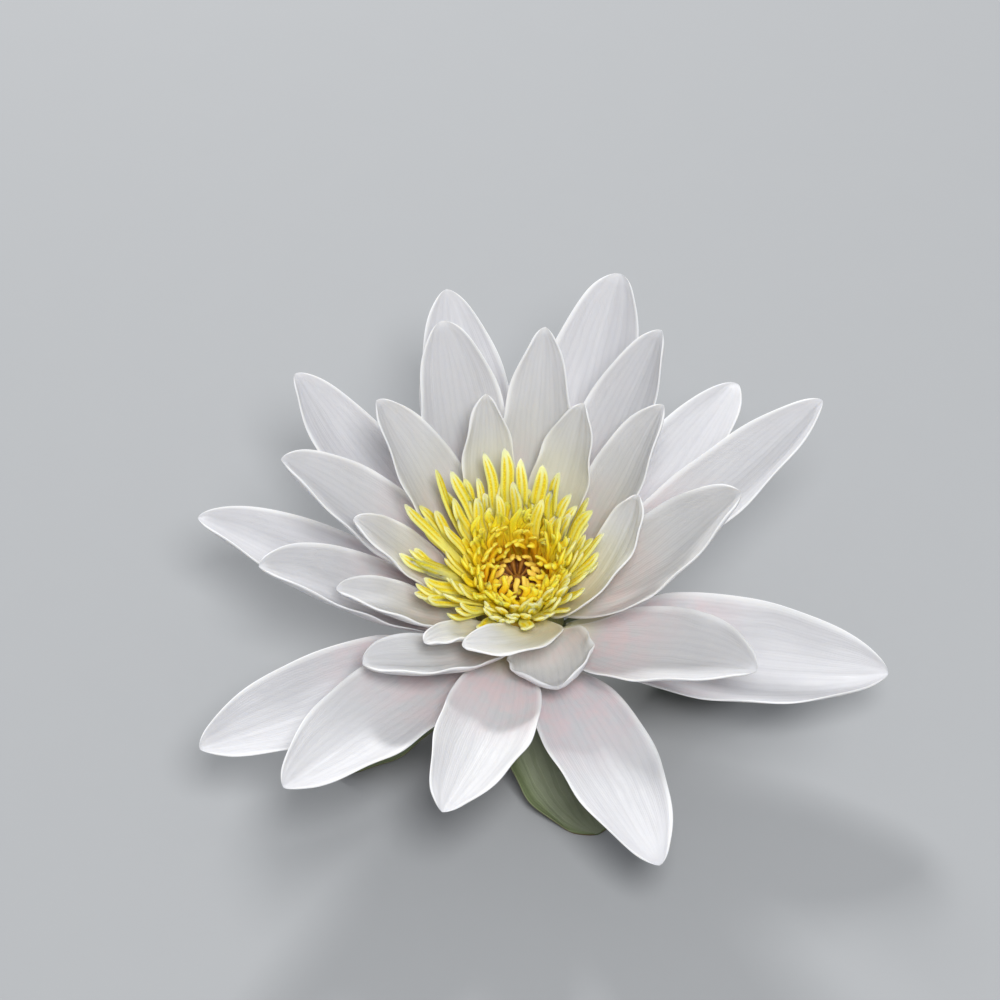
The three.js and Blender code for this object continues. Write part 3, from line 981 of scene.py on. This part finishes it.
def growRing(name, tuft, row, seed, material):
    collar = tuft["collar"]
    ring = dict(zip(ringColumns, row))
    values = {
        "Centre": seat,
        "Count": ring["count"],
        "Turn": seed * ringTurn,
        "Reach": ring["reach"] * mm,
        "Level": ring["level"] * mm,
        "Width": ring["width"] * mm,
        "Rise": ring["rise"] * degree,
        "Pitch": ring["pitch"] * degree,
        "Spread": ring["spread"] * mm,
        "Lift": ring["lift"] * mm,
        "Base radius": 0.5 * (collar["inner"] + collar["outer"]) * mm,
        "Base level": (collar["top"] - rootDepth) * mm,
        "Thickness": tuft["thickness"] * mm,
        "Anther start": tuft["antherStart"],
        "Anther height": tuft["antherHeight"] * mm,
        "Curl": tuft["curl"] * mm,
        "Jitter": tuft["jitter"] * mm,
        "Scatter": tuft["scatter"],
        "Tint": ring["tint"],
        "Seed": seed,
        "Rows": tuft["rows"],
        "Columns": tuft["columns"],
        "Material": material,
    }
    return grow(stamens, values, name)


def collarPiece(name, collar, material):
    outline = [(collar["inner"], collar["bottom"]), (collar["outer"], collar["bottom"]),
               (collar["outer"], collar["top"]), (collar["inner"], collar["top"]),
               (collar["inner"], collar["bottom"])]
    return turnedPiece(name, outline, collarSides, material)


def growTuft(name, tuft, material):
    rings = [
        growRing(name + "Ring" + str(number), tuft, row, tuft["seed"] + number, material)
        for number, row in enumerate(tuft["rings"])
    ]
    piece = joinPieces(rings + [collarPiece(name + "Collar", tuft["collar"], material)])
    piece.name = name
    piece.data.name = name
    return piece


stamens = stamenTree()
keep(growTuft("outerStamens", outerStamens, paleFinish), "outer_stamens")
keep(growTuft("innerStamens", innerStamens, goldenFinish), "inner_stamens")
print("stamens grown")


# ---- stigma, pistil and stalk

stigma = {
    "outline": [(0, 12.3), (4.3, 12.3), (4.8, 12.9), (4.9, 13.6), (4.5, 13.75), (4.1, 13.6), (2.6, 13.05),
                (1.1, 12.95), (0.9, 13.6), (0.66, 13.9), (0, 14.1)],
    "outlineSteps": 5,
    "sides": 168,
    "rays": 14,
    "rayHeight": 0.35,
    "rayFrom": 0.9,  # the rays rise from the hub at this radius and are full this much further out
    "rayRun": 1.2,
    "dishLevel": 12.9,
    "fingers": [14, 2.3, 16.4, 1.2, 84, 160, 0, 0, 0],
    "collar": {"inner": 4.1, "outer": 4.9, "bottom": 12.6, "top": 14.3},
    "seed": 21,
    "rows": 17,
    "columns": 13,
    "thickness": 0.75,
    "antherStart": 2,  # past the tip, so that the fingers have none
    "antherHeight": 0,
    "curl": 0.25,
    "jitter": 0.8,
    "scatter": 0.13,
}


def clamped(share):
    return min(1, max(0, share))


def stigmaShape(radius, level, turn):
    if level <= stigma["dishLevel"]:
        return radius, level
    ridge = stigma["rayHeight"] * math.cos(stigma["rays"] * turn)
    return radius, level + ridge * clamped((radius - stigma["rayFrom"]) / stigma["rayRun"])


def markAttribute(piece, name, value):  # a float at each vertex, from its place
    stored = piece.data.attributes.new(name, "FLOAT", "POINT")
    stored.data.foreach_set("value", [value(vertex.co) for vertex in piece.data.vertices])


def rayAt(place):
    turn = math.atan2(place.y - seat.y, place.x - seat.x)
    return 0.5 + 0.5 * math.cos(stigma["rays"] * turn)


stigmaOutline = smoothOutline(stigma["outline"], stigma["outlineSteps"])
disc = turnedPiece("stigmaDisc", stigmaOutline, stigma["sides"], stigmaFinish, stigmaShape)
fingers = growRing("stigmaFingers", stigma, stigma["fingers"], stigma["seed"], stigmaFinish)
stigmaPiece = joinPieces([disc, fingers])
stigmaPiece.name = "stigmaFine"
markAttribute(stigmaPiece, "ray", rayAt)
keep(stigmaPiece, "stigma")

stalk = {
    "outline": [(3.8, -12), (4.3, -11.5), (4.3, -9.5), (4.3, -7.5), (5.2, -5.5), (7.6, -4), (8.7, -2.6),
                (9.3, 0), (9, 2.5), (8.3, 5), (7.3, 7.5), (6, 8.3), (5.8, 11.6), (5, 12), (0, 12)],
    "outlineSteps": 6,
    "sides": 144,
    "ribs": 16,
    "ribHeight": 0.06,
    "ribFrom": 4,  # full height from this radius on
    "channels": [(1.55, 0.85, 4, 45), (2.95, 0.36, 8, 22.5)],  # ring radius, hole radius, count, first turn
    "channelDepth": 1.6,
    "channelWall": 0.35,  # share of a hole's radius over which its wall falls
    "cutRings": 34,
    "cutLip": 0.2,  # the flesh shows up to this far above the cut
}
cutLevel = stalk["outline"][0][1]
justAbove = 0.01


def stalkShape(radius, level, turn):
    rib = stalk["ribHeight"] * math.cos(stalk["ribs"] * turn) * min(1, radius / stalk["ribFrom"])
    if level > cutLevel + justAbove:
        return radius + rib, level
    depth = 0
    for ringRadius, holeRadius, count, first in stalk["channels"]:
        for number in range(count):
            angle = (first + 360 * number / count) * degree
            away = math.hypot(radius * math.cos(turn) - ringRadius * math.cos(angle),
                              radius * math.sin(turn) - ringRadius * math.sin(angle))
            share = clamped((holeRadius - away) / (stalk["channelWall"] * holeRadius))
            depth = max(depth, stalk["channelDepth"] * share)
    return radius, level + depth


cutRadius = stalk["outline"][0][0]
cut = [(cutRadius * step / stalk["cutRings"], cutLevel) for step in range(stalk["cutRings"])]
stalkOutline = cut + smoothOutline(stalk["outline"], stalk["outlineSteps"])
stalkPiece = turnedPiece("stalkAndPistil", stalkOutline, stalk["sides"], stalkFinish, stalkShape)


def fleshAt(place):
    return 1.0 if place.z < seat.z + (cutLevel + stalk["cutLip"]) * mm else 0.0


markAttribute(stalkPiece, "flesh", fleshAt)
keep(stalkPiece, "stalk_and_pistil")
print("stigma and stalk made")


# ---- floor, light and camera

studio = {
    "floorSize": 6,
    "floorColour": (0.38, 0.39, 0.40),
    "floorGrain": (0.44, 0.45, 0.46),
    "floorGrainScale": 90,
    "floorGrainShare": 0.1,
    "floorRoughness": 0.8,
    "sky": (0.94, 0.96, 1.0),
    "skyStrength": 0.42,
    "keyFrom": (-0.2, 0.94, 0.54),  # where the key light stands, from the bloom, in metres
    "keySize": 0.2,
    "keyPower": 8.3,
    "fillFrom": (0.12, -0.55, 1.0),
    "fillSize": 0.4,
    "fillPower": 8.5,
}
view = {
    "elevation": 50 * degree,
    "distance": 800 * mm,
    "aimAside": -3.4 * mm,
    "aimAbove": 24 * mm,  # the picture's middle lies this far above the petal seat
    "lens": 144,
    "sensor": 36,
}


def buildFloor():
    made, tree = newMaterial("pale floor")
    body = tree.add("ShaderNodeTexCoord", None, (), "Object")
    grain = tree.noise(body, studio["floorGrainScale"], 3) * studio["floorGrainShare"]
    colour = tree.mixColour(grain, studio["floorColour"], studio["floorGrain"])
    sockets = {"Base Color": colour, "Roughness": studio["floorRoughness"]}
    skin = tree.add("ShaderNodeBsdfPrincipled", None, sockets)
    tree.add("ShaderNodeOutputMaterial", None, {"Surface": skin})
    half = 0.5 * studio["floorSize"]
    mesh = bpy.data.meshes.new("floor")
    corners = [(-half, -half), (half, -half), (half, half), (-half, half)]
    mesh.from_pydata([(x, y, floorLevel) for x, y in corners], [], [(0, 1, 2, 3)])
    mesh.materials.append(made)
    floor = bpy.data.objects.new("floor", mesh)
    bpy.context.scene.collection.objects.link(floor)


def addLight(name, place, size, power):
    lamp = bpy.data.lights.new(name, "AREA")
    lamp.shape = "DISK"
    lamp.size = size
    lamp.energy = power
    light = bpy.data.objects.new(name, lamp)
    light.location = seat + Vector(place)
    light.rotation_euler = (seat - light.location).to_track_quat("-Z", "Y").to_euler()
    bpy.context.scene.collection.objects.link(light)


def buildStudio():
    buildFloor()
    addLight("key", studio["keyFrom"], studio["keySize"], studio["keyPower"])
    addLight("fill", studio["fillFrom"], studio["fillSize"], studio["fillPower"])
    world = bpy.data.worlds.new("studio")
    world.use_nodes = True
    background = world.node_tree.nodes["Background"]
    background.inputs["Color"].default_value = (*studio["sky"], 1)
    background.inputs["Strength"].default_value = studio["skyStrength"]
    bpy.context.scene.world = world
    bpy.context.scene.view_settings.view_transform = "Standard"  # keeps the yellow as deep as it is painted


def buildCamera():
    slope = view["elevation"]
    ahead = Vector((0, math.cos(slope), -math.sin(slope)))
    up = Vector((0, math.sin(slope), math.cos(slope)))
    lens = bpy.data.cameras.new("camera")
    lens.lens = view["lens"]
    lens.sensor_width = view["sensor"]
    camera = bpy.data.objects.new("camera", lens)
    aim = seat + Vector((view["aimAside"], 0, 0)) + up * view["aimAbove"]
    camera.location = aim - ahead * view["distance"]
    camera.rotation_euler = (90 * degree - slope, 0, 0)
    bpy.context.scene.collection.objects.link(camera)
    bpy.context.scene.camera = camera


buildStudio()
buildCamera()
print("studio ready")
